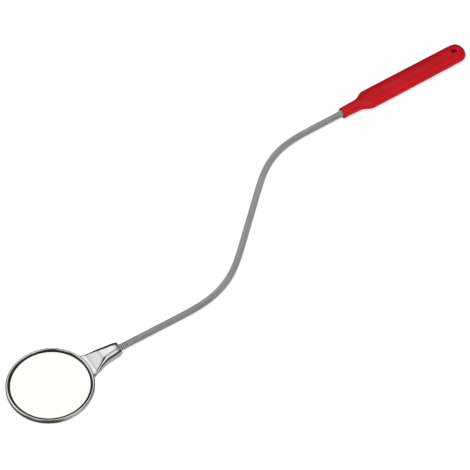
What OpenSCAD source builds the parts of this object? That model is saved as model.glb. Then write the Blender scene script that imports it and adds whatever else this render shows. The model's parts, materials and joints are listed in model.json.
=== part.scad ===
// Flexible round inspection mirror: a framed glass on a flared neck, a stay-put
// gooseneck shaft of two interlocked wires, and a soft hand grip with a hang hole.
//
// Origin: centre of the flat back of the mirror cup. +X runs along the neck towards
// the shaft, +Z is out of the mirror face. The shaft curves in a plane parallel to
// the back of the cup, so mirror and grip lie on one table.

/* [Mirror head] */
// Diameter of the glass
glass_d = 57.2; // [45:0.1:65]
// Thickness of the glass
glass_t = 1.85; // [1.5:0.05:2]
// Width of the blackened bevel round the face of the glass
glass_bevel = 1.4; // [0.8:0.1:2]
// Thickness of the cushion pad behind the glass
pad_t = 0.4; // [0.3:0.05:0.5]
// Thickness of the sheet metal of cup and bezel
sheet = 0.8; // [0.5:0.05:0.8]
// Width of the rolled bezel, seen from the front
bezel_w = 2; // [1.8:0.05:2.6]

/* [Neck] */
// Width of the neck where it meets the bezel
neck_w = 18.9; // [14:0.1:20]
// Thickness of the neck where it meets the bezel
neck_t = 3.4; // [3:0.1:4.4]
// Width of the oval collar
collar_w = 10.5; // [9.6:0.1:12]
// Thickness of the oval collar
collar_t = 8.9; // [8.6:0.1:9]
// Length of the collar, over which its thickness stays the same
collar_len = 10.6; // [8:0.1:11]
// Distance from the mirror centre to the collar's open end
neck_end = 54.6; // [53:0.1:62]

/* [Gooseneck shaft] */
// Outside diameter of the shaft
shaft_d = 5; // [4.8:0.05:5]
// Free length of the shaft between collar and grip
shaft_len = 277.9; // [250:0.1:400]
// Thickness of the round wire
round_wire_d = 0.9; // [0.8:0.02:0.92]
// Distance between neighbouring turns
turn_pitch = 1.36; // [1.3:0.01:1.4]
// Number of bending places along the shaft
hinge_count = 24; // [16, 20, 24]
// Angle of the first bend, next to the mirror
bend_1 = 44.1; // [0:0.1:60]
// Angle of the second bend, back again
bend_2 = 42.6; // [0:0.1:60]

/* [Grip] */
// Length of the grip
grip_len = 111.7; // [90:0.1:140]
// Width of the grip
grip_w = 16.8; // [15:0.1:22]
// Thickness of the grip
grip_t = 9; // [9:0.1:10]
// Diameter of the sleeve at the front of the grip
sleeve_d = 8.2; // [8.2:0.1:9]
// Length of that sleeve, before the grip widens
sleeve_len = 13; // [8:0.5:20]
// Diameter of the hang hole
hang_hole_d = 4; // [3:0.1:5]
// Distance from the hang hole's centre to the end of the grip
hang_hole_inset = 8.8; // [7:0.1:10]

/* [Hidden] */
STRETCHES = [for (n = [1:hinge_count - 1]) str(n < 10 ? "0" : "", n)];

axis_z = grip_t / 2;              // height of the shaft's centre line over the table
fit = 0.05;                       // gap between pieces that are pressed or brazed together
overrun = 0.5;                    // how far a cut runs past the face it opens

glass_r = glass_d / 2;
bevel_drop = 0.3;                 // how far the bevel goes down at the rim of the glass
cup_in_r = glass_r + 0.1;
cup_out_r = cup_in_r + sheet;
bezel_out_r = cup_out_r + fit + sheet;
bead_r = bezel_w / 2;             // the bezel is a half-round bead between two legs
bead_mid_r = bezel_out_r - bead_r;
glass_z = sheet + pad_t;
glass_top = glass_z + glass_t;
bead_z = glass_top + 0.15;        // height at which the bead's half-round starts
cup_corner = 1.2;                 // outer radius between the cup's floor and wall
cup_h = bead_z - 0.3;
bezel_foot = cup_corner + 0.1;    // lower edge of the bezel's outer leg

neck_root_x = bezel_out_r - 2;    // the loft starts inside the bezel and is cut to its curve
neck_root_z = 0.4 + neck_t / 2;
collar_start = neck_end - collar_len;
collar_edge = 0.8;                // rounding of the collar's open end
collar_lip = 0.6;                 // turned-in lip at that end
flare_end = neck_end - collar_edge;
flare_rise = (neck_w - collar_w) / 2;
flare_run = flare_end - bezel_out_r;
flare_r = (flare_run * flare_run + flare_rise * flare_rise) / (2 * flare_rise);
ferrule_len = 10;
ferrule_r = shaft_d / 2 + fit + 0.5;       // in the grip
neck_ferrule_r = shaft_d / 2 + fit + 1;    // in the neck
neck_hollow_end = neck_end - collar_lip - ferrule_len - 0.8;

wire_r = round_wire_d / 2;
ball_proud = 0.015;               // how much thicker the ball between two half turns is
ball_trim = 1.5;                  // degrees by which each half turn stops inside its ball
coil_r = shaft_d / 2 - fit - wire_r;
half_pitch = turn_pitch / 2;
stretch_len = shaft_len / hinge_count;
bend_room = 1.2;                  // bare length at each bending place, so that the ends never meet
half_turns = 2 * floor((stretch_len - bend_room) / turn_pitch - 0.5) + 1;
stub_half_turns = 21;             // on each end, where the wires run on into a ferrule
end_gap = (stretch_len - half_turns * half_pitch) / 2;
wedge_w = 0.6;                    // section of the wedge wire: a triangle, point inwards
wedge_h = 0.36;
wedge_rise = 0.1;                 // how far its point stays outside the coil's middle radius
path_step = 0.5;
bend_1_start = 40.6;
bend_1_len = 93.2;
bend_2_start = 172.1;
bend_2_len = 85.4;

core_in_r = ferrule_r + fit;
core_out_r = core_in_r + 0.5;
core_tube_len = 34;
core_set_back = 0.6;              // the soft cover runs this far past the end of the tube
bar_w = 10.5;
bar_t = 2.4;
bar_start = core_tube_len - 5;
hole_x = grip_len - hang_hole_inset;
hole_lining = 1;                  // soft cover that lines the bar's hole
flare_len = 12;
tip_len = 8;                      // rounded end of the grip, seen from above
tip_edge = 4.5;                   // rounded end of the grip, seen from the side

function clamp01(t) = min(1, max(0, t));
function ease(t) = let (u = clamp01(t)) u * u * u * (u * (6 * u - 15) + 10);
function mix(a, b, t) = a + (b - a) * t;

// Centre line of the shaft: s is the distance from the collar's open end.
function turn_at(s) = bend_1 * ease((s - bend_1_start) / bend_1_len)
    - bend_2 * ease((s - bend_2_start) / bend_2_len);
function heading(s) = [cos(turn_at(s)), sin(turn_at(s))];
function leftward(s) = [-sin(turn_at(s)), cos(turn_at(s))];
path = [for (i = 0, p = [neck_end, 0]; i * path_step <= shaft_len + 2 * ferrule_len;
             p = p + path_step * heading((i + 0.5) * path_step), i = i + 1) p];
function place(s) = s <= 0 ? [neck_end + s, 0]
    : let (i = floor(s / path_step), rest = s - i * path_step) path[i] + rest * heading(s - rest / 2);
function hinge_at(n) = (n - 0.5) * stretch_len;

// Closed surface through rings of points, one ring per station.
module loft(rings) {
    m = len(rings[0]);
    last = len(rings) - 1;
    sides = [for (i = [0:last - 1], k = [0:m - 1]) let (q = (k + 1) % m)
        each [[i * m + k, (i + 1) * m + q, i * m + q], [i * m + k, (i + 1) * m + k, (i + 1) * m + q]]];
    near_cap = [for (k = [0:m - 1]) k];
    far_cap = [for (k = [m - 1:-1:0]) last * m + k];
    polyhedron([for (ring = rings) each ring], concat(sides, [near_cap, far_cap]));
}

// ---- mirror head ----

module mirror_glass() color("lightcyan")
    translate([0, 0, glass_z]) {
        cylinder(h = glass_t - bevel_drop, r = glass_r, $fn = 120);
        translate([0, 0, glass_t - bevel_drop])
            cylinder(h = bevel_drop, r1 = glass_r, r2 = glass_r - glass_bevel, $fn = 120);
    }

module cushion_pad() color("dimgray")
    translate([0, 0, sheet]) cylinder(h = pad_t - 0.02, r = glass_r - 1, $fn = 120);

module mirror_cup() color("silver")
    rotate_extrude($fn = 120) difference() {
        union() {
            square([cup_out_r - cup_corner, sheet]);
            translate([cup_out_r - cup_corner, cup_corner]) circle(r = cup_corner, $fn = 48);
            translate([cup_in_r, cup_corner]) square([sheet, cup_h - cup_corner]);
        }
        translate([0, sheet]) square([cup_in_r, cup_h]);
    }

module bezel_ring() color("gainsboro")
    rotate_extrude($fn = 120) {
        translate([bead_mid_r, bead_z]) difference() {
            circle(r = bead_r, $fn = 48);
            circle(r = bead_r - sheet, $fn = 48);
            translate([-bezel_w, -2 * bezel_w]) square(2 * bezel_w);
        }
        translate([bezel_out_r - sheet, bezel_foot]) square([sheet, bead_z - bezel_foot]);
        translate([bezel_out_r - bezel_w, glass_top + fit]) square([sheet, bead_z - glass_top - fit]);
    }

// ---- neck ----

// Half width of the neck: an arc that ends at the collar's rounded edge.
function neck_half_w(x) = let (d = max(0, flare_end - x))
    collar_w / 2 + flare_r - sqrt(flare_r * flare_r - d * d);
function neck_share(x) = ease((x - neck_root_x) / (collar_start - neck_root_x));
function neck_half_t(x) = mix(neck_t / 2, collar_t / 2, neck_share(x));
function neck_z(x) = mix(neck_root_z, axis_z, neck_share(x));
function edge_loss(x) = let (d = max(0, x - flare_end))
    collar_edge - sqrt(max(0, collar_edge * collar_edge - d * d));

// Section across the neck, made smaller all round by inset: two half circles joined by flats.
function neck_section(x, inset) = let (side = neck_half_w(x) - neck_half_t(x), r = neck_half_t(x) - inset)
    [for (a = [7.5:15:352.5]) [x, (cos(a) > 0 ? side : -side) + r * cos(a), neck_z(x) + r * sin(a)]];
neck_stations = concat([for (i = [0:10]) mix(neck_root_x, collar_start, i / 10)],
    [for (i = [1:2]) mix(collar_start, flare_end, i / 2)],
    [for (i = [1:3]) flare_end + collar_edge * sin(i * 30)]);

module neck_socket() color("silver") difference() {
    loft([for (x = neck_stations) neck_section(x, edge_loss(x))]);
    loft([for (i = [0:8]) neck_section(mix(neck_root_x - 0.5, neck_hollow_end, i / 8), sheet)]);
    translate([0, 0, -1]) cylinder(h = 3 * neck_t, r = bezel_out_r + fit, $fn = 120);
    translate([neck_end - collar_lip - ferrule_len - 1, 0, axis_z]) rotate([0, 90, 0])
        cylinder(h = ferrule_len + 1, r = neck_ferrule_r + fit, $fn = 64);
    translate([neck_end - collar_lip - overrun, 0, axis_z]) rotate([0, 90, 0])
        cylinder(h = collar_lip + 2 * overrun, r = shaft_d / 2 + 0.2, $fn = 64);
}

module ferrule(outer_r) rotate([0, 90, 0]) difference() {
    cylinder(h = ferrule_len, r = outer_r, $fn = 64);
    translate([0, 0, -overrun]) cylinder(h = ferrule_len + 2 * overrun, r = shaft_d / 2 + fit, $fn = 64);
}

module neck_ferrule() color("goldenrod")
    translate([neck_end - collar_lip - fit - ferrule_len, 0, axis_z]) ferrule(neck_ferrule_r);

// ---- gooseneck ----

// Half turns meet in the plane of the shaft's curve, on alternate sides of its centre line.
// Each stretch has an odd number of them, so its two ends lie on opposite sides.
function side_of(j) = (j % 2 == 0) ? 1 : -1;
function crossing(s, j) = place(s + j * half_pitch) + side_of(j) * coil_r * leftward(s + j * half_pitch);

module half_turn(from, to, over, trim) {
    across = to - from;
    translate([(from[0] + to[0]) / 2, (from[1] + to[1]) / 2, axis_z])
    rotate([0, 0, atan2(across[1], across[0])])
    rotate([over * 90, 0, 0]) rotate([0, 0, trim])
    rotate_extrude(angle = 180 - 2 * trim, $fn = 48)
    translate([norm(across) / 2, 0]) children();
}

module coil(s, halves, trim = 0)
    for (j = [0:halves - 1]) half_turn(crossing(s, j), crossing(s, j + 1), side_of(j), trim) children();

// A ball a hair thicker than the wire joins each two half turns and rounds both ends.
module round_wire(s, halves) color("lightgray") {
    coil(s, halves, ball_trim) circle(r = wire_r, $fn = 24);
    for (j = [0:halves])
        translate([crossing(s, j)[0], crossing(s, j)[1], axis_z])
            sphere(r = wire_r + ball_proud, $fn = 24);
}

// The wedge wire lies in the groove between two turns of round wire.
module wedge_wire(s, halves) color("darkgray")
    coil(s + half_pitch, halves - 2)
        translate([wedge_rise, 0]) polygon([[0, 0], [wedge_h, wedge_w / 2], [wedge_h, -wedge_w / 2]]);

// Stretch 1 is next to the grip, so it lies between the last two hinges.
function stretch_start(n) = hinge_at(hinge_count - n) + end_gap;
head_stub_start = hinge_at(1) - end_gap - stub_half_turns * half_pitch;
grip_stub_start = hinge_at(hinge_count) + end_gap;

// ---- grip ----

// Everything on the grip is drawn along +X from the grip's front edge.
module at_grip()
    translate([place(shaft_len)[0], place(shaft_len)[1], axis_z]) rotate([0, 0, turn_at(shaft_len)])
        children();

module grip_ferrule() color("goldenrod") at_grip()
    translate([1, 0, 0]) ferrule(ferrule_r);

module bar_plan(spare) {
    translate([bar_start - spare, -bar_w / 2 - spare])
        square([hole_x - bar_start + spare, bar_w + 2 * spare]);
    translate([hole_x, 0]) circle(r = bar_w / 2 + spare, $fn = 64);
}

module grip_core() color("slategray") at_grip() difference() {
    union() {
        translate([core_set_back, 0, 0]) rotate([0, 90, 0])
            cylinder(h = core_tube_len - core_set_back, r = core_out_r, $fn = 64);
        translate([0, 0, -bar_t / 2]) linear_extrude(bar_t) bar_plan(0);
    }
    rotate([0, 90, 0]) cylinder(h = bar_start - 2, r = core_in_r, $fn = 64);
    translate([hole_x, 0, -bar_t])
        cylinder(h = 2 * bar_t, r = hang_hole_d / 2 + hole_lining, $fn = 48);
}

// Outline of the grip from above and from the side, at distance x from its front edge.
function rounded_end(x, length) = let (u = clamp01((x - grip_len + length) / length))
    pow(max(0, 1 - pow(u, 2.4)), 1 / 2.4);
function front_edge(x) = 0.4 * pow(1 - clamp01(x / 0.8), 2);
function widening(x) = ease((x - sleeve_len) / flare_len);
function sleeve_r(x) = sleeve_d / 2 + 0.3 * clamp01(x / sleeve_len) - front_edge(x);
function grip_half_w(x) = rounded_end(x, tip_len)
    * mix(sleeve_r(x), grip_w / 2 - 0.25 * clamp01((x - 60) / 45), widening(x));
function grip_half_t(x) = rounded_end(x, tip_edge) * mix(sleeve_r(x), grip_t / 2, widening(x));
function grip_section(x) = [for (a = [0:9:351])
    [x, grip_half_w(x) * cos(a), grip_half_t(x) * sin(a)]];
grip_stations = concat([0, 0.4, 0.8, sleeve_len],
    [for (i = [1:8]) sleeve_len + flare_len * i / 8],
    [60, grip_len - tip_len],
    [for (i = [1:12]) grip_len - tip_len * (1 - sin(i * 7.4))]);

module grip_cover() color("crimson") at_grip() difference() {
    loft([for (x = grip_stations) grip_section(x)]);
    translate([-overrun, 0, 0]) rotate([0, 90, 0])
        cylinder(h = core_tube_len + overrun + fit, r = core_out_r + fit, $fn = 64);
    difference() {
        translate([0, 0, -bar_t / 2 - fit]) linear_extrude(bar_t + 2 * fit) bar_plan(fit);
        translate([hole_x, 0, -bar_t])
            cylinder(h = 2 * bar_t, r = hang_hole_d / 2 + hole_lining - fit, $fn = 48);
    }
    translate([hole_x, 0, -grip_t]) cylinder(h = 2 * grip_t, d = hang_hole_d, $fn = 48);
}

mirror_glass();
cushion_pad();
mirror_cup();
bezel_ring();
neck_socket();
neck_ferrule();
round_wire(head_stub_start, stub_half_turns);  // round_wire_head_end
wedge_wire(head_stub_start, stub_half_turns);  // wedge_wire_head_end
for (n = [1:hinge_count - 1]) {
    round_wire(stretch_start(n), half_turns);
    wedge_wire(stretch_start(n), half_turns);
}
round_wire(grip_stub_start, stub_half_turns);  // round_wire_grip_end
wedge_wire(grip_stub_start, stub_half_turns);  // wedge_wire_grip_end
grip_ferrule();
grip_core();
grip_cover();
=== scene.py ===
import json
import math

import bmesh
import bpy
from mathutils import Matrix, Vector


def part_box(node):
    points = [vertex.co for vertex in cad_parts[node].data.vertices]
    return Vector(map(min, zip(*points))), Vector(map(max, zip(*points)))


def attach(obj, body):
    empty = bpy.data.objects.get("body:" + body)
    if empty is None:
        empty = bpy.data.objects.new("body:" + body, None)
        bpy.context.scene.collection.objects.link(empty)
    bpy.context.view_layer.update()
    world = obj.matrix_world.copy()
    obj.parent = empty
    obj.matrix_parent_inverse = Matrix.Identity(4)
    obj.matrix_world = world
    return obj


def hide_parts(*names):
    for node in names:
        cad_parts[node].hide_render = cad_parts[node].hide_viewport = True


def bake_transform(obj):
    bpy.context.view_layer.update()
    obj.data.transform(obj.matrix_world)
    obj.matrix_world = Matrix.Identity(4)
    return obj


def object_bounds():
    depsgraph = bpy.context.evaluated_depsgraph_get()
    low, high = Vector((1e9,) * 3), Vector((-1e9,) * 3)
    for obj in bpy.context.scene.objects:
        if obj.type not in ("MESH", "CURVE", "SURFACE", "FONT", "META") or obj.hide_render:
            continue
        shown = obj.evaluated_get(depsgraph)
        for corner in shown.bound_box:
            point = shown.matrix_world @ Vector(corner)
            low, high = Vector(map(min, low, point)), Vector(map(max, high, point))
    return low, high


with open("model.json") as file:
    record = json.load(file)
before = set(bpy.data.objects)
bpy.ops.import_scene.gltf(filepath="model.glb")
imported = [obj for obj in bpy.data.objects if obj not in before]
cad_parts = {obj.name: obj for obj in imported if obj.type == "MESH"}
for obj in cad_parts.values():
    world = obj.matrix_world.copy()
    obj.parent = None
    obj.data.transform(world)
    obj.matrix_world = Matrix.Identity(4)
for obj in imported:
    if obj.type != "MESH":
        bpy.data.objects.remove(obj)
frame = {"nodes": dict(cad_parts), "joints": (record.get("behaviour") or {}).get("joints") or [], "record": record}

CAD_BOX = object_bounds()
CAD_CENTRE = (CAD_BOX[0] + CAD_BOX[1]) / 2
MM = 0.001
UP = Vector((0, 0, 1))

# ---- places and sizes taken from the frame ----

JOINTS = frame["joints"]  # from the grip to the mirror head
GLASS_LOW, GLASS_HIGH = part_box("mirror_glass")
BEZEL_LOW, BEZEL_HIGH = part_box("bezel_ring")
CUP_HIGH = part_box("mirror_cup")[1]
NECK_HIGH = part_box("neck_socket")[1]
GLASS_R = GLASS_HIGH.x
BEZEL_R = BEZEL_HIGH.x
CUP_R = CUP_HIGH.x
AXIS_Z = JOINTS[0]["pos_m"][2]  # height of the shaft's centre line over the table
NECK_END = NECK_HIGH.x
HANG_HOLE = next(m for m in frame["record"]["mounts"] if m["name"] == "hang_hole")
HOLE_R = HANG_HOLE["dims"]["r_mm"] * MM


def grip_frame():
    """Matrix whose X runs along the grip from its front edge, and the grip's length."""
    hinge = Vector(JOINTS[0]["pos_m"])
    along = (Vector(HANG_HOLE["pos_m"]) - hinge).normalized()
    reach = [(v.co - hinge).dot(along) for v in frame["nodes"]["grip_cover"].data.vertices]
    front = hinge + along * min(reach)
    left = UP.cross(along)
    turned = Matrix((along, left, UP)).transposed().to_4x4()
    return Matrix.Translation(front) @ turned, max(reach) - min(reach)


GRIP, GRIP_LEN = grip_frame()
TO_GRIP = GRIP.inverted()
HOLE_X = (TO_GRIP @ Vector(HANG_HOLE["pos_m"])).x
GRIP_HALF_W = max(abs((TO_GRIP @ v.co).y) for v in frame["nodes"]["grip_cover"].data.vertices)
GRIP_HALF_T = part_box("grip_cover")[1].z - AXIS_Z


# ---- small mesh tools ----


def new_object(name, mesh, material=None):
    """Put a mesh in the scene."""
    piece = bpy.data.objects.new(name, mesh)
    bpy.context.scene.collection.objects.link(piece)
    if material:
        mesh.materials.append(material)
    return piece


def smooth(mesh, sharp_deg=38):
    """Smooth shading, except across edges that turn by more than sharp_deg."""
    for face in mesh.polygons:
        face.use_smooth = True
    mesh.set_sharp_from_angle(angle=math.radians(sharp_deg))


def skin(name, rings, material, ring_loop=False):
    """Closed surface through rings of points, all of one count: capped, or joined last to first."""
    count, per = len(rings), len(rings[0])
    faces = []
    for i in range(count if ring_loop else count - 1):
        a, b = i * per, ((i + 1) % count) * per
        for k in range(per):
            m = (k + 1) % per
            faces.append((a + k, a + m, b + m, b + k))
    if not ring_loop:
        faces.append(tuple(range(per)))
        faces.append(tuple(range((count - 1) * per, count * per)))
    mesh = bpy.data.meshes.new(name)
    mesh.from_pydata([tuple(p) for ring in rings for p in ring], [], faces)
    work = bmesh.new()
    work.from_mesh(mesh)
    bmesh.ops.recalc_face_normals(work, faces=work.faces)
    work.to_mesh(mesh)
    work.free()
    smooth(mesh)
    return new_object(name, mesh, material)


def rounded(corners, steps=8):
    """Open polyline through (x, y, radius) corners, with an arc at each corner that has a radius."""
    points = []
    for i, (x, y, radius) in enumerate(corners):
        here = Vector((x, y))
        if radius == 0:
            points.append(here)
            continue
        before = (Vector(corners[i - 1][:2]) - here).normalized()
        after = (Vector(corners[i + 1][:2]) - here).normalized()
        half = before.angle(after) / 2
        centre = here + (before + after).normalized() * (radius / math.sin(half))
        first = here + before * (radius / math.tan(half)) - centre
        sweep = first.angle_signed(here + after * (radius / math.tan(half)) - centre)
        for step in range(steps + 1):
            turn = -sweep * step / steps
            points.append(centre + Matrix.Rotation(turn, 2) @ first)
    return points


def round_angles(count):
    """Even steps of a full turn."""
    return [2 * math.pi * i / count for i in range(count)]


def lathe(name, outline, material, segments=256):
    """A ring turned about Z from a closed outline of (radius, height)."""
    rings = []
    for turn in round_angles(segments):
        rings.append([Vector((p.x * math.cos(turn), p.x * math.sin(turn), p.y)) for p in outline])
    return skin(name, rings, material, ring_loop=True)


def lathe_solid(name, outline, material, segments=192):
    """A solid turned about Z from an open outline that starts and ends near the axis."""
    turns = round_angles(segments)
    rings = [[Vector((p.x * math.cos(a), p.x * math.sin(a), p.y)) for a in turns] for p in outline]
    return skin(name, rings, material)


def mix(a, b, t):
    return a + (b - a) * t


def clamp01(t):
    return min(1.0, max(0.0, t))


def ease(t):
    """Smooth step from 0 to 1, flat at both ends."""
    u = clamp01(t)
    return u * u * u * (u * (6 * u - 15) + 10)


def superellipse(half_w, half_t, power, count):
    """Points around a section: power 2 is an ellipse, and a higher power is squarer."""
    points = []
    for i in range(count):
        a = 2 * math.pi * (i + 0.5) / count
        c, s = math.cos(a), math.sin(a)
        scale = (abs(c) ** power + abs(s) ** power) ** (-1 / power)
        points.append((half_w * c * scale, half_t * s * scale))
    return points


# ---- materials ----


class Shader:
    """A node material with a Principled surface and short calls for the usual nodes."""

    def __init__(self, name, **settings):
        self.material = bpy.data.materials.new(name)
        self.material.use_nodes = True
        self.nodes = self.material.node_tree.nodes
        self.links = self.material.node_tree.links
        self.surface = self.nodes["Principled BSDF"]
        for key, value in settings.items():
            self.surface.inputs[key.replace("_", " ")].default_value = value
        self.place = self.nodes.new("ShaderNodeTexCoord").outputs["Object"]

    def stretched(self, scale):
        node = self.nodes.new("ShaderNodeMapping")
        node.inputs["Scale"].default_value = scale
        self.links.new(self.place, node.inputs["Vector"])
        return node.outputs["Vector"]

    def noise(self, scale, detail=3, rough=0.5, stretch=None):
        node = self.nodes.new("ShaderNodeTexNoise")
        node.inputs["Scale"].default_value = scale
        node.inputs["Detail"].default_value = detail
        node.inputs["Roughness"].default_value = rough
        self.links.new(self.stretched(stretch) if stretch else self.place, node.inputs["Vector"])
        return node.outputs["Fac"]

    def spread(self, value, low, high, from_low=0.3, from_high=0.7):
        node = self.nodes.new("ShaderNodeMapRange")
        node.inputs["From Min"].default_value = from_low
        node.inputs["From Max"].default_value = from_high
        node.inputs["To Min"].default_value = low
        node.inputs["To Max"].default_value = high
        self.links.new(value, node.inputs["Value"])
        return node.outputs["Result"]

    def ramp(self, value, stops):
        node = self.nodes.new("ShaderNodeValToRGB")
        while len(node.color_ramp.elements) < len(stops):
            node.color_ramp.elements.new(0.5)
        for element, (position, color) in zip(node.color_ramp.elements, stops):
            element.position = position
            element.color = (*color, 1)
        self.links.new(value, node.inputs["Fac"])
        return node.outputs["Color"]

    def bump(self, value, strength, distance):
        node = self.nodes.new("ShaderNodeBump")
        node.inputs["Strength"].default_value = strength
        node.inputs["Distance"].default_value = distance
        self.links.new(value, node.inputs["Height"])
        old = self.surface.inputs["Normal"].links
        if old:
            self.links.new(old[0].from_socket, node.inputs["Normal"])
        self.links.new(node.outputs["Normal"], self.surface.inputs["Normal"])

    def set(self, name, value):
        self.links.new(value, self.surface.inputs[name])


def mirror_material():
    """Silvered glass, with the faintest haze."""
    s = Shader("silvered_glass", Metallic=1.0, Base_Color=(0.985, 0.98, 0.965, 1), Roughness=0.01)
    s.set("Roughness", s.spread(s.noise(40, 4), 0.006, 0.02))
    return s.material


def glass_edge_material():
    """Near-black bevel under a ground surface: painted shade for the dark gap and dark reflection between glass
    and bezel.
    """
    s = Shader("painted_shade_bevel", Roughness=0.3, Specular_IOR_Level=0.12)
    specks = s.noise(700, 3)
    # near-black speckled tone: painted shade at the glass's edge
    s.set("Base Color", s.ramp(specks, [(0.3, (0.012, 0.012, 0.013)), (0.7, (0.025, 0.026, 0.028))]))
    s.bump(s.noise(4000, 2), 0.3, 0.00002)
    return s.material


def chrome_material(name, color, rough):
    """Bright plating: faint clouding, fine polishing lines and a slightly wavy surface."""
    s = Shader(name, Metallic=1.0, Roughness=rough)
    clouds = s.noise(90, 4, 0.6)
    low = tuple(c * 0.93 for c in color)
    s.set("Base Color", s.ramp(clouds, [(0.35, low), (0.65, color)]))
    s.set("Roughness", s.spread(s.noise(400, 5, 0.65), rough * 0.7, rough * 1.5))
    s.bump(s.noise(120, 2), 0.06, 0.0003)
    s.bump(s.noise(2500, 2, stretch=(1, 6, 6)), 0.03, 0.00002)
    return s.material


def wire_material(name, color, rough):
    """Drawn wire with satin plating, duller than the chrome, and a trace of grime in patches."""
    s = Shader(name, Metallic=0.8, Roughness=rough)
    grime = s.noise(260, 5, 0.7)
    dark = tuple(c * 0.6 for c in color)
    s.set("Base Color", s.ramp(grime, [(0.3, dark), (0.5, color)]))
    s.set("Roughness", s.spread(s.noise(900, 4, 0.7), rough * 0.75, rough * 1.4))
    s.bump(s.noise(5000, 2), 0.12, 0.00001)
    return s.material


def vinyl_material():
    """Dipped red vinyl: a glossy skin with slow waves, a fine orange peel and mild colour drift."""
    s = Shader("red_vinyl", Specular_IOR_Level=0.18)
    drift = s.noise(30, 3)
    s.set("Base Color", s.ramp(drift, [(0.35, (0.36, 0.003, 0.008)), (0.65, (0.41, 0.005, 0.011))]))
    s.set("Roughness", s.spread(s.noise(300, 4), 0.25, 0.4))
    s.bump(s.noise(55, 2), 0.10, 0.001)
    s.bump(s.noise(1400, 3), 0.06, 0.00005)
    return s.material


def metal_material(name, color, rough):
    """Plain turned or drawn metal, with a grain along it."""
    s = Shader(name, Metallic=1.0, Roughness=rough)
    worn = tuple(c * 0.7 for c in color)
    s.set("Base Color", s.ramp(s.noise(200, 4), [(0.3, worn), (0.7, color)]))
    s.bump(s.noise(1500, 3, stretch=(1, 8, 8)), 0.2, 0.00003)
    return s.material


def foam_material():
    """Black foam with fine open pores."""
    s = Shader("pad_foam", Base_Color=(0.03, 0.03, 0.032, 1), Roughness=0.9)
    s.bump(s.noise(3000, 3), 0.5, 0.0001)
    return s.material


# ---- mirror head ----

SHEET = 0.8 * MM  # wall of the cup and of the bezel
GLASS_BEVEL = 1.4 * MM  # width of the bevel
BEVEL_DROP = 0.3 * MM
ARRIS = 0.12 * MM
DISC_START = 0.02 * MM  # radius at which turned discs start, close to the axis


def make_glass(face, edge):
    """A float-glass disc whose face has a near-black bevel round it, painted shade for the dark gap at the glass's
    edge.
    """
    z0, z1 = GLASS_LOW.z, GLASS_HIGH.z
    rim_z = z1 - BEVEL_DROP
    outline = [(DISC_START, z0), (GLASS_R - ARRIS, z0), (GLASS_R, z0 + ARRIS), (GLASS_R, rim_z - ARRIS),
               (GLASS_R - ARRIS, rim_z), (GLASS_R - GLASS_BEVEL, z1), (DISC_START, z1)]
    glass = lathe_solid("mirror_glass_disc", [Vector(p) for p in outline], face)
    glass.data.materials.append(edge)
    smooth(glass.data, 8)
    # the bevel faces get the near-black material: painted shade of the gap between glass and bezel
    for f in glass.data.polygons:
        if f.center.xy.length > GLASS_R - 0.9 * GLASS_BEVEL and f.center.z > z0 + 0.01 * MM:
            f.material_index = 1
    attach(glass, "mirror_head")
    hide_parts("mirror_glass")


def half_round(middle, z, radius, first, last, steps=20):
    """Points of an arc in (radius, height), from one angle to another."""
    angles = [first + (last - first) * i / steps for i in range(steps + 1)]
    return [Vector((middle + radius * math.cos(a), z + radius * math.sin(a))) for a in angles]


def make_bezel(chrome):
    """Rolled ring: a half-round bead, a leg inwards to the glass and a leg down over the cup."""
    bead_r = BEZEL_HIGH.z - GLASS_HIGH.z - 0.15 * MM
    middle = BEZEL_R - bead_r
    bead_z = BEZEL_HIGH.z - bead_r
    inner = middle - bead_r
    inner_foot = GLASS_HIGH.z - 0.02 * MM
    foot = BEZEL_LOW.z
    outline = half_round(middle, bead_z, bead_r, 0, math.pi)
    outline.append(Vector((inner + 0.03 * MM, inner_foot + 0.05 * MM)))
    outline.append(Vector((inner + 0.1 * MM, inner_foot)))
    outline.append(Vector((inner + 0.9 * SHEET, inner_foot)))
    outline += half_round(middle, bead_z, bead_r - SHEET, math.pi, 0)
    outline.append(Vector((BEZEL_R - SHEET, foot)))
    outline.append(Vector((BEZEL_R - 0.5 * SHEET, foot - 0.05 * MM)))
    outline.append(Vector((BEZEL_R - 0.1 * SHEET, foot + 0.1 * MM)))
    outline.append(Vector((BEZEL_R, foot + 0.3 * MM)))
    ring = lathe("bezel_bead", outline, chrome)
    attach(ring, "mirror_head")
    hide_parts("bezel_ring")


def make_cup(chrome):
    """Pressed cup: flat back, rounded corner, wall that goes up inside the bezel."""
    outer, inner, edge = 1.2 * MM, 0.5 * MM, 0.1 * MM  # radii of the corners and of the rim
    top = CUP_HIGH.z
    wall = CUP_R - SHEET
    path = rounded([(DISC_START, 0, 0), (CUP_R, 0, outer), (CUP_R, top, edge), (wall, top, edge),
                    (wall, SHEET, inner), (DISC_START, SHEET, 0)])
    cup = lathe_solid("cup_shell", path, chrome)
    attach(cup, "mirror_head")
    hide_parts("mirror_cup")


# ---- neck ----

NECK_ROOT = BEZEL_R - 1.9 * MM  # the neck starts inside the bezel
NECK_HALF_W = 9.7 * MM  # where it leaves the bezel
NECK_HALF_T = 1.7 * MM
NECK_ROOT_Z = 2.1 * MM
COLLAR_HALF_W = 5.5 * MM
COLLAR_HALF_T = NECK_HIGH.z - AXIS_Z
COLLAR_START = NECK_END - 10.6 * MM
COLLAR_TAPER = 0.55 * MM  # by which the collar draws in over its last part
TAPER_LEN = 5 * MM
COLLAR_EDGE = 0.8 * MM
FLARE_END = NECK_END - COLLAR_EDGE
LIP = 0.6 * MM  # wall at the collar's open end
MOUTH_R = 2.7 * MM
MOUTH_EDGE = 0.15 * MM
BORE_R = 3.6 * MM  # room for the ferrule
BORE_LEN = 11 * MM


def stadium(side, radius, arc=36, flat=10):
    """Points around two half circles joined by flats of twice the side."""
    points = []
    for sign in (1, -1):
        for i in range(arc + 1):
            a = math.pi * (i / arc - 0.5)
            points.append((sign * (side + radius * math.cos(a)), sign * radius * math.sin(a)))
        for i in range(1, flat):
            points.append((sign * side * (1 - 2 * i / flat), sign * radius))
    return points


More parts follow.
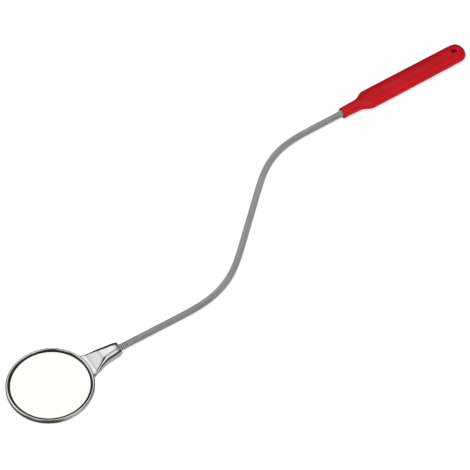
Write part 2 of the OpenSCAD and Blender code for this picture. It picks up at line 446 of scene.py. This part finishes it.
def neck_half_width(x):
    """Half width of the neck: an arc that runs out along the collar."""
    rise = NECK_HALF_W - COLLAR_HALF_W
    run = FLARE_END - BEZEL_R
    radius = (run * run + rise * rise) / (2 * rise)
    back = max(0, FLARE_END - x)
    return COLLAR_HALF_W + radius - math.sqrt(radius * radius - back * back)


def neck_ring(x, inset=0.0):
    """Section of the neck at x, thinner by the inset above and below."""
    share = ease((x - NECK_ROOT) / (COLLAR_START - NECK_ROOT))
    half_t = mix(NECK_HALF_T, COLLAR_HALF_T, share)
    z = mix(NECK_ROOT_Z, AXIS_Z, share)
    section = stadium(neck_half_width(x) - half_t, half_t - inset)
    return [Vector((x, y, z + dz)) for y, dz in section]


def round_ring(x, radius, count):
    """Circle round the shaft's centre line at x."""
    angles = [2 * math.pi * i / count - math.pi / 2 for i in range(count)]
    return [Vector((x, radius * math.cos(a), AXIS_Z + radius * math.sin(a))) for a in angles]


def make_neck(chrome):
    """Tube pressed flat and wide at the mirror, with a rounded open end round the gooseneck."""
    rings = [neck_ring(mix(NECK_ROOT, COLLAR_START, i / 44)) for i in range(45)]
    for i in range(1, 17):
        x = mix(COLLAR_START, FLARE_END, i / 16)
        rings.append(neck_ring(x, COLLAR_TAPER * clamp01((x - FLARE_END) / TAPER_LEN + 1) ** 2))
    for i in range(1, 11):
        a = math.pi / 2 * i / 10
        inset = COLLAR_TAPER + COLLAR_EDGE * (1 - math.cos(a))
        rings.append(neck_ring(FLARE_END + COLLAR_EDGE * math.sin(a), inset))
    count = len(rings[0])
    for back, radius in ((0, MOUTH_R + MOUTH_EDGE), (MOUTH_EDGE, MOUTH_R), (LIP, MOUTH_R), (LIP, BORE_R),
                         (LIP + BORE_LEN, BORE_R)):
        rings.append(round_ring(NECK_END - back, radius, count))
    neck = skin("flared_neck", rings, chrome)
    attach(neck, "mirror_head")
    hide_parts("neck_socket")


# ---- gooseneck ----

TURNS = 8  # turns of each wire between neighbouring hinges
STEPS = 40  # sections per turn
ROUND_R = 0.43 * MM
SHAFT_R = 2.5 * MM
COIL_R = SHAFT_R - ROUND_R  # from the shaft's centre line to the wires' middle
TAIL_LEN = 9 * MM  # of each wire in a ferrule


def shaft_knots():
    """Points on the shaft's centre line from the collar to the grip, their distances along it and
    the shaft's directions there."""
    points = [Vector((NECK_END, 0, AXIS_Z))]
    points += [Vector(j["pos_m"]) for j in reversed(JOINTS)]
    points.append(GRIP.translation.copy())
    reach = [0.0]
    for a, b in zip(points, points[1:]):
        reach.append(reach[-1] + (b - a).length)
    tangents = [Vector((1, 0, 0))]
    for i in range(1, len(points) - 1):
        tangents.append((points[i + 1] - points[i - 1]).normalized())
    tangents.append(GRIP.col[0].xyz.normalized())
    return points, reach, tangents


KNOTS, REACH, TANGENTS = shaft_knots()
SHAFT_LEN = REACH[-1]
STRETCH = SHAFT_LEN / len(JOINTS)


def shaft_at(s):
    """Centre, direction and leftward direction of the shaft at distance s from the collar."""
    if s <= 0:
        return KNOTS[0] + TANGENTS[0] * s, TANGENTS[0], UP.cross(TANGENTS[0])
    if s >= SHAFT_LEN:
        return KNOTS[-1] + TANGENTS[-1] * (s - SHAFT_LEN), TANGENTS[-1], UP.cross(TANGENTS[-1])
    i = max(k for k in range(len(REACH) - 1) if REACH[k] <= s)
    span = REACH[i + 1] - REACH[i]
    t = (s - REACH[i]) / span
    a, b = KNOTS[i], KNOTS[i + 1]
    u, v = TANGENTS[i] * span, TANGENTS[i + 1] * span
    place = (a * (2 * t**3 - 3 * t**2 + 1) + u * (t**3 - 2 * t**2 + t)
             + b * (3 * t**2 - 2 * t**3) + v * (t**3 - t**2))
    slope = (a * (6 * t**2 - 6 * t) + u * (3 * t**2 - 4 * t + 1)
             + b * (6 * t - 6 * t**2) + v * (3 * t**2 - 2 * t)).normalized()
    return place, slope, UP.cross(slope)


def wire_rings(s0, s1, section, phase):
    """Sections along a wire wound round the shaft from s0 to s1."""
    count = max(2, round((s1 - s0) / STRETCH * TURNS * STEPS))
    pitch = STRETCH / TURNS
    rings = []
    for i in range(count + 1):
        s = mix(s0, s1, i / count)
        centre, along, left = shaft_at(s)
        turn = 2 * math.pi * s / pitch + phase
        radial = left * math.cos(turn) + UP * math.sin(turn)
        around = UP * math.cos(turn) - left * math.sin(turn)
        ahead = (along * pitch + around * (2 * math.pi * COIL_R)).normalized()
        side = ahead.cross(radial)
        rings.append([centre + radial * (COIL_R + out) + side * across for out, across in section])
    return rings


def round_section(count=12):
    """Section of the spring wire, as (outwards, across)."""
    angles = [2 * math.pi * (i + 0.5) / count for i in range(count)]
    return [(ROUND_R * math.cos(a), ROUND_R * math.sin(a)) for a in angles]


def wedge_section():
    """Wedge with its point inwards and a crowned outer face, as (outwards, across)."""
    half, waist = 0.33 * MM, 0.17 * MM
    top, crown = 0.08 * MM, 0.05 * MM
    point = (-0.3 * MM, 0)
    left = [(-0.05 * MM, waist), (top, half), (top + crown, 0.6 * half)]
    right = [(out, -across) for out, across in reversed(left)]
    return [point] + left + [(top + 1.3 * crown, 0)] + right


def make_wire(kind, section, phase, material):
    """One wire in 24 lengths that each bend over one hinge, and two ends held in the ferrules."""
    for n in range(len(JOINTS)):
        s0 = SHAFT_LEN - (n + 1) * STRETCH
        s1 = s0 + STRETCH
        piece = skin(f"{kind}_bend_{n + 1:02d}", wire_rings(s0, s1, section, phase), material)
        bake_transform(piece)
        if n < len(JOINTS) - 1:
            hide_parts(f"{kind}_{n + 1:02d}")
    make_tail(kind, "head", "mirror_head", wire_rings(-TAIL_LEN, 0, section, phase), material)
    make_tail(kind, "grip", "grip", wire_rings(SHAFT_LEN, SHAFT_LEN + TAIL_LEN, section, phase), material)


def make_tail(kind, end, body, rings, material):
    """The part of a wire that lies in a ferrule."""
    piece = skin(f"{kind}_{end}_tail", rings, material)
    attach(piece, body)
    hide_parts(f"{kind}_{end}_end")


def make_gooseneck():
    """A round spring wire, and a wedge wire half a turn on in the groove between its turns, coloured near black as
    painted shade of the groove.
    """
    bright = wire_material("spring_wire", (0.97, 0.96, 0.95), 0.4)
    # near-black wedge colour: painted shade between the turns
    groove_shade_wire = wire_material("groove_wire_painted_shade", (0.02, 0.0195, 0.019), 0.5)
    make_wire("round_wire", round_section(), 0.0, bright)
    make_wire("wedge_wire", wedge_section(), math.pi, groove_shade_wire)


# ---- grip ----

SLEEVE_R = 4.1 * MM
SLEEVE_LEN = 13 * MM
SLEEVE_GROWTH = 0.3 * MM  # added to the sleeve's radius towards the shoulder
SHOULDER_LEN = 12 * MM
BODY_TAPER = 0.25 * MM  # lost on each side between these two places
TAPER_START = 60 * MM
TAPER_END = 105 * MM
TIP_LEN = 8 * MM  # rounded end, seen from above
TIP_EDGE = 4.5 * MM  # and from the side
TIP_POWER = 2.4
SECTION_POINTS = 120
FRONT_EDGE = 0.5 * MM  # rounding of the sleeve's front edge
MOUTH_LIP = 0.3 * MM  # rounding of the opening round the shaft
OPENING_R = 2.75 * MM
CORE_R = 3.65 * MM  # room for the core's tube
CORE_START = 0.5 * MM
CORE_LEN = 34.05 * MM
BAR_START = 29 * MM  # room for the core's flat bar
BAR_HALF_W = 5.3 * MM
BAR_HALF_T = 1.25 * MM
LINING_R = 2.95 * MM  # vinyl round the hang hole, inside the bar's eye
HOLE_EDGE = 0.55 * MM


def tip_share(x, length):
    """How much of the section is left at x, in an end that is rounded over this length."""
    u = clamp01((x - GRIP_LEN + length) / length)
    return max(0.0, 1 - u**TIP_POWER) ** (1 / TIP_POWER)


def grip_section(x, half_w, half_t, power=2.0):
    """Section across the grip at x; power 2 gives a circle or an ellipse."""
    section = superellipse(half_w, half_t, power, SECTION_POINTS)
    return [GRIP @ Vector((x, y, z)) for y, z in section]


def grip_ring(x):
    """Section of the grip: round sleeve, widening shoulder, flattened body, rounded tip."""
    widening = ease((x - SLEEVE_LEN) / SHOULDER_LEN)
    sleeve = SLEEVE_R + SLEEVE_GROWTH * clamp01(x / SLEEVE_LEN)
    taper = BODY_TAPER * clamp01((x - TAPER_START) / (TAPER_END - TAPER_START))
    half_w = mix(sleeve, GRIP_HALF_W - taper, widening) * tip_share(x, TIP_LEN)
    half_t = mix(sleeve, GRIP_HALF_T, widening) * tip_share(x, TIP_EDGE)
    return grip_section(x, half_w, half_t, mix(2.0, 2.15, widening))


def grip_mouth_rings():
    """From deep inside the mouth, out over a rounded front edge."""
    circles = [(CORE_LEN, CORE_R), (CORE_START, CORE_R), (CORE_START, OPENING_R), (MOUTH_LIP, OPENING_R)]
    for i in range(5):
        a = math.pi / 2 * i / 4
        circles.append((MOUTH_LIP * (1 - math.sin(a)), OPENING_R + MOUTH_LIP * (1 - math.cos(a))))
    for i in range(9):
        a = math.pi / 2 * i / 8
        circles.append((FRONT_EDGE * (1 - math.cos(a)), SLEEVE_R - FRONT_EDGE + FRONT_EDGE * math.sin(a)))
    return [grip_section(x, radius, radius) for x, radius in circles]


def grip_rings():
    """The whole grip, from inside its mouth to its tip."""
    body_start, body_end = SLEEVE_LEN + SHOULDER_LEN, GRIP_LEN - TIP_LEN
    places = []
    for start, end, steps in ((FRONT_EDGE, SLEEVE_LEN, 26), (SLEEVE_LEN, body_start, 40),
                              (body_start, body_end, 80)):
        places += [mix(start, end, i / steps) for i in range(1, steps + 1)]
    places += [body_end + TIP_LEN * math.sin(math.pi / 2 * 0.995 * i / 30) for i in range(1, 31)]
    return grip_mouth_rings() + [grip_ring(x) for x in places]


def hole_cutter():
    """Trumpet-shaped cutter, so that the hang hole's edges come out rounded."""
    face = grip_face_height()
    half = []
    for i in range(9):
        a = math.pi / 2 * i / 8
        z = face - HOLE_EDGE + HOLE_EDGE * math.sin(a)
        half.append((z, HOLE_R + HOLE_EDGE * (1 - math.cos(a))))
    half.append((face + 1 * MM, HOLE_R + HOLE_EDGE))
    rings = []
    for z, r in [(-z, r) for z, r in reversed(half)] + half:
        rings.append([GRIP @ Vector((x, y, z)) for x, y in hole_circle(r, 64)])
    return skin("hole_cutter", rings, None)


def hole_circle(radius, count):
    """Circle round the hang hole on the grip's middle plane."""
    return [(HOLE_X + radius * math.cos(a), radius * math.sin(a)) for a in round_angles(count)]


def prism(name, outline, half_height):
    """Upright solid through an outline drawn on the grip's middle plane."""
    rings = [[GRIP @ Vector((x, y, z)) for x, y in outline] for z in (-half_height, half_height)]
    return skin(name, rings, None)


def bar_cutter():
    """Slot for the core's flat bar, with the vinyl that lines the bar's eye left standing."""
    angles = [math.pi * (i / 24 - 0.5) for i in range(25)]
    outline = [(BAR_START, BAR_HALF_W), (BAR_START, -BAR_HALF_W)]
    outline += [(HOLE_X + BAR_HALF_W * math.cos(a), BAR_HALF_W * math.sin(a)) for a in angles]
    slot = prism("bar_slot", outline, BAR_HALF_T)
    cut(slot, prism("bar_eye", hole_circle(LINING_R, 48), 2 * BAR_HALF_T))
    return slot


def grip_face_height():
    """Height of the grip's upper face over its middle plane at the hang hole."""
    return max((TO_GRIP @ p).z for p in grip_ring(HOLE_X))


def cut(piece, cutter):
    """Take the cutter out of the piece, and clear away slivers."""
    tool = piece.modifiers.new("cut", "BOOLEAN")
    tool.operation = "DIFFERENCE"
    tool.solver = "EXACT"
    tool.object = cutter
    depsgraph = bpy.context.evaluated_depsgraph_get()
    result = bpy.data.meshes.new_from_object(piece.evaluated_get(depsgraph))
    work = bmesh.new()
    work.from_mesh(result)
    bmesh.ops.dissolve_degenerate(work, dist=0.002 * MM, edges=work.edges)
    work.to_mesh(result)
    work.free()
    piece.modifiers.clear()
    piece.data = result
    bpy.data.objects.remove(cutter)
    smooth(piece.data, 50)


def make_grip(vinyl):
    """Vinyl cover, hollow for the core, with the hang hole through it."""
    cover = skin("vinyl_grip", grip_rings(), vinyl)
    cut(cover, bar_cutter())
    cut(cover, hole_cutter())
    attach(cover, "grip")
    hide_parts("grip_cover")


# ---- hidden CAD pieces ----


def paint_cad(node, material):
    """Give a CAD node that stays visible its material."""
    mesh = frame["nodes"][node].data
    mesh.materials.clear()
    mesh.materials.append(material)


def paint_inner_pieces():
    """Materials of the pieces inside the head, the collar and the grip."""
    brass = metal_material("turned_brass", (0.72, 0.55, 0.27), 0.3)
    steel = metal_material("zinc_steel", (0.6, 0.61, 0.62), 0.35)
    paint_cad("neck_ferrule", brass)
    paint_cad("grip_ferrule", brass)
    paint_cad("grip_core", steel)
    paint_cad("cushion_pad", foam_material())


# ---- view ----

VIEW_TURN = math.radians(-32.8)  # the camera looks along +Y turned by this
VIEW_DOWN = math.radians(51.96)
VIEW_RANGE = 1.844
FOCAL = 199.15  # this and the sensor's width are in millimetres
SENSOR = 36
AIM_RIGHT = -0.0161  # from the middle of the CAD box to the point aimed at
AIM_AWAY = -0.0031
RIGHT = Vector((math.cos(-VIEW_TURN), -math.sin(-VIEW_TURN), 0))  # of the camera, along the table
AWAY = Vector((math.sin(-VIEW_TURN), math.cos(-VIEW_TURN), 0))


def make_camera():
    """Long lens, looking down at the object from its near side."""
    aim = Vector((CAD_CENTRE.x, CAD_CENTRE.y, 0)) + RIGHT * AIM_RIGHT + AWAY * AIM_AWAY
    camera = bpy.data.objects.new("camera", bpy.data.cameras.new("camera"))
    bpy.context.scene.collection.objects.link(camera)
    back = AWAY * -math.cos(VIEW_DOWN) + UP * math.sin(VIEW_DOWN)
    camera.location = aim + back * VIEW_RANGE
    camera.rotation_euler = (-back).to_track_quat("-Z", "Y").to_euler()
    camera.data.lens = FOCAL
    camera.data.sensor_width = SENSOR
    bpy.context.scene.camera = camera


# ---- floor ----

FLOOR_HALF = 0.7
FLOOR_DROP = 0.1 * MM
FLOOR_GLOW = 0.46  # lifts the white board to the white of a light box
PAINTED_REFLECTION_LEVEL = 0.03  # painted reflection: the level of the board as the chrome shows it, dark
FLOOR_SHADE = ((0.3, (0.66, 0.66, 0.657)), (0.7, (0.69, 0.69, 0.687)))


def floor_shade(s, rays):
    """Pale board with a slow drift of tone; for glossy rays near black, a painted dark reflection of the board in
    the chrome.
    """
    shade = s.nodes.new("ShaderNodeMix")
    shade.data_type = "RGBA"
    s.links.new(rays, shade.inputs["Factor"])
    s.links.new(s.ramp(s.noise(6, 2), FLOOR_SHADE), shade.inputs[6])
    shade.inputs[7].default_value = (PAINTED_REFLECTION_LEVEL, PAINTED_REFLECTION_LEVEL, PAINTED_REFLECTION_LEVEL, 1)
    return shade.outputs[2]


def floor_glow(s, rays):
    """Even glow seen directly; for glossy rays a painted reflection, which shows in chrome only where the mirrored
    ray runs down to the right.
    """
    towards = s.nodes.new("ShaderNodeVectorMath")
    towards.operation = "DOT_PRODUCT"
    towards.inputs[1].default_value = RIGHT * -0.8 + UP * 0.6
    s.links.new(s.nodes.new("ShaderNodeNewGeometry").outputs["Incoming"], towards.inputs[0])
    mirrored = s.spread(towards.outputs["Value"], PAINTED_REFLECTION_LEVEL, FLOOR_GLOW, 0.67, 0.84)
    pick = s.nodes.new("ShaderNodeMix")
    s.links.new(rays, pick.inputs["Factor"])
    pick.inputs["A"].default_value = FLOOR_GLOW
    s.links.new(mirrored, pick.inputs["B"])
    return pick.outputs["Result"]


def floor_material():
    """White board, with a painted dim reflection of it in the chrome."""
    s = Shader("studio_floor", Roughness=0.9, Specular_IOR_Level=0.0)
    # glossy rays see the painted dark reflection of the board
    rays = s.nodes.new("ShaderNodeLightPath").outputs["Is Glossy Ray"]
    s.set("Base Color", floor_shade(s, rays))
    s.set("Emission Strength", floor_glow(s, rays))
    s.surface.inputs["Emission Color"].default_value = (1, 1, 1, 1)
    return s.material


def make_floor():
    """Square board under the object."""
    mesh = bpy.data.meshes.new("floor")
    corners = [(-1, -1), (1, -1), (1, 1), (-1, 1)]
    places = [(CAD_CENTRE.x + x * FLOOR_HALF, CAD_CENTRE.y + y * FLOOR_HALF, -FLOOR_DROP) for x, y in corners]
    mesh.from_pydata(places, [], [(0, 1, 2, 3)])
    new_object("studio_floor", mesh, floor_material())


# ---- light ----

ROOM_LEVEL = 0.03
ROOM_TINT = (1, 0.99, 0.955, 1)
# Soft panels round the object, as seen in the chrome: direction of the centre as (right, away, up),
# angles in degrees within which the panel is full and beyond which it is gone, and its level
PANELS = (
    (-0.12, 0.5, 0.86, 13, 26, 1.0),  # ceiling panel, which the mirror shows
    (-0.9, 0.05, 0.43, 14, 40, 0.25),  # wall on the left
    (0.58, -0.38, 0.72, 8, 22, 0.85),  # lamp on the near right
    (0.42, 0.02, 0.9, 10, 24, 0.5),  # its glow on the ceiling
    (-0.72, 0.08, 0.69, 15, 34, 0.6),  # upper part of the wall
    (0.33, -0.6, 0.73, 6, 15, 0.9),  # two small near lamps, which glint in the rim
    (-0.39, -0.58, 0.71, 5, 14, 1.2),
)


def panel(nodes, links, centre, full_deg, gone_deg, level):
    """Light from around a direction, fading between two angles off it."""
    towards = nodes.new("ShaderNodeVectorMath")
    towards.operation = "DOT_PRODUCT"
    towards.inputs[1].default_value = centre.normalized()
    links.new(nodes.new("ShaderNodeTexCoord").outputs["Generated"], towards.inputs[0])
    fade = nodes.new("ShaderNodeMapRange")
    fade.interpolation_type = "SMOOTHSTEP"
    fade.inputs["From Min"].default_value = math.cos(math.radians(gone_deg))
    fade.inputs["From Max"].default_value = math.cos(math.radians(full_deg))
    fade.inputs["To Max"].default_value = level
    links.new(towards.outputs["Value"], fade.inputs["Value"])
    return fade.outputs["Result"]


def make_world():
    """Dim room with the panels in it."""
    world = bpy.data.worlds.new("tent")
    bpy.context.scene.world = world
    world.use_nodes = True
    nodes, links = world.node_tree.nodes, world.node_tree.links
    room = nodes.new("ShaderNodeValue")
    room.outputs["Value"].default_value = ROOM_LEVEL
    total = room.outputs["Value"]
    for to_right, to_away, to_up, full_deg, gone_deg, level in PANELS:
        centre = RIGHT * to_right + AWAY * to_away + UP * to_up
        add = nodes.new("ShaderNodeMath")
        add.operation = "ADD"
        links.new(panel(nodes, links, centre, full_deg, gone_deg, level), add.inputs[0])
        links.new(total, add.inputs[1])
        total = add.outputs["Value"]
    links.new(total, nodes["Background"].inputs["Strength"])
    nodes["Background"].inputs["Color"].default_value = ROOM_TINT


def make_light(name, offset, size, power):
    """Square lamp aimed at the object; the offset is (right, away, up) as the camera sees it."""
    light = bpy.data.lights.new(name, "AREA")
    light.shape = "RECTANGLE"
    light.size = light.size_y = size
    light.energy = power
    lamp = bpy.data.objects.new(name, light)
    lamp.visible_glossy = False
    bpy.context.scene.collection.objects.link(lamp)
    lamp.location = CAD_CENTRE + RIGHT * offset[0] + AWAY * offset[1] + UP * offset[2]
    lamp.rotation_euler = (CAD_CENTRE - lamp.location).to_track_quat("-Z", "Y").to_euler()


def main():
    chrome = chrome_material("bright_chrome", (0.86, 0.86, 0.865), 0.07)
    make_glass(mirror_material(), glass_edge_material())
    make_bezel(chrome)
    make_cup(chrome)
    make_neck(chrome_material("satin_chrome", (0.84, 0.84, 0.845), 0.13))
    make_gooseneck()
    make_grip(vinyl_material())
    paint_inner_pieces()
    make_floor()
    make_world()
    make_light("key", (0.1, -0.2, 1.5), 1.0, 17)
    make_light("fill", (0.5, -1.0, 0.6), 0.8, 11)
    make_camera()
    bpy.context.scene.view_settings.view_transform = "Standard"


main()
